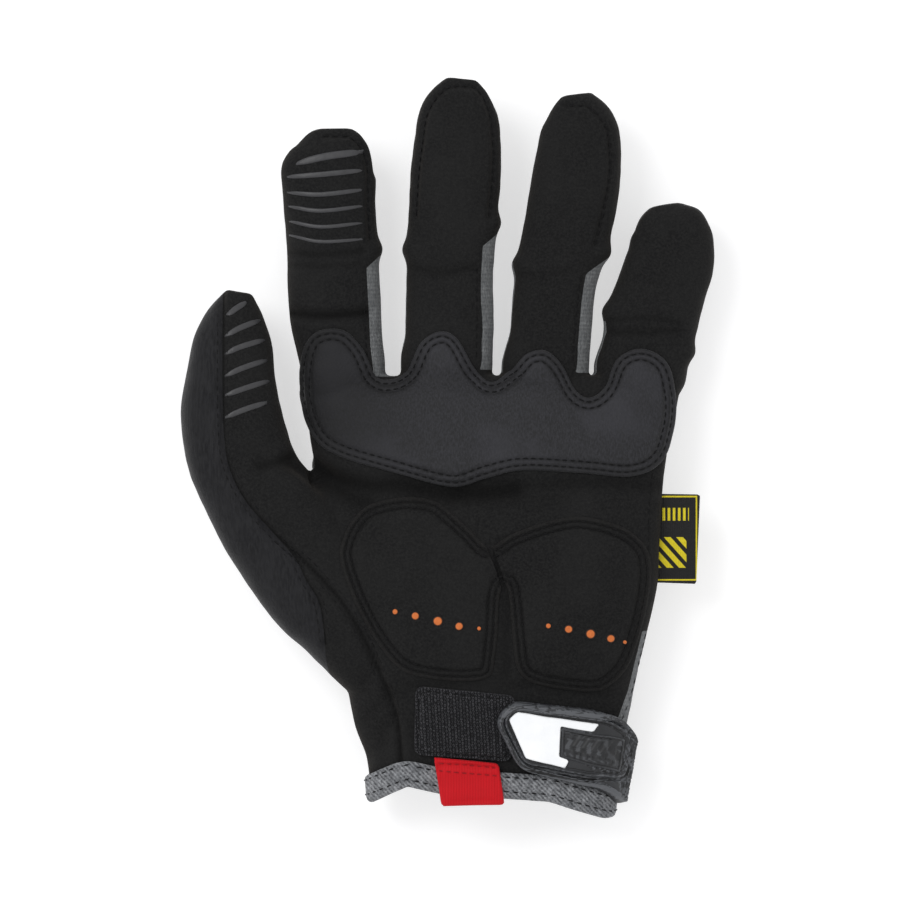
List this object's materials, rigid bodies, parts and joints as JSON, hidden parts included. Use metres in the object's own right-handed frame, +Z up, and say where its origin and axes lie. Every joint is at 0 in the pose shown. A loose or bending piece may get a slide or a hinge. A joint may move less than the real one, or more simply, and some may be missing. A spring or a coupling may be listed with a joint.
{
  "type": "mechanic glove, for the left hand",
  "caption": "Left-hand mechanic glove lying on its armoured back, palm up: padded suede palm, open fingers, moulded knuckle and finger guards, closure strap and pull tab.",
  "frame": {"origin": "middle of the footprint, on the surface that the glove lies on", "axes": "+Y from the cuff to the fingertips, +X from the thumb to the little finger, +Z up out of the palm"},
  "size_m": [0.174, 0.2474, 0.0404],
  "materials": {
    "suede": "synthetic suede, matt, brushed nap",
    "stretch": "matt two-way stretch suede",
    "mesh": "black knit with elongated holes",
    "gusset": "grey fine knit",
    "reinforcement": "charcoal grained reinforcement, matt",
    "guard": "grey moulded rubber, satin",
    "dark_guard": "dark grey moulded rubber, satin",
    "loop": "black loop pile",
    "binding": "grey woven edge binding",
    "ribbon": "red ribbed ribbon",
    "reflector": "white reflective film",
    "tag": "yellow woven tag with a black border, no text"
  },
  "bodies": {
    "root": {"palm_panel": "suede", "back_panel": "mesh", "index_tip_cap": "suede", "thumb_panel": "stretch", "side_strip": "gusset", "gusset_index_middle": "gusset", "gusset_middle_ring": "gusset", "gusset_ring_little": "gusset", "cuff_binding": "binding", "knuckle_pad": "reinforcement", "heel_pad_thumb_side": "suede", "heel_pad_little_side": "suede", "loop_patch": "loop", "closure_strap": "dark_guard", "reflector_plate": "reflector", "strap_badge": "dark_guard", "pull_tab": "ribbon", "side_tag": "tag", "cuff_panel": "dark_guard", "cuff_label": "tag", "knuckle_guard": "guard", "middle_finger_guard": "guard", "ring_finger_guard": "guard", "little_finger_guard": "guard"}
  },
  "joints": []
}
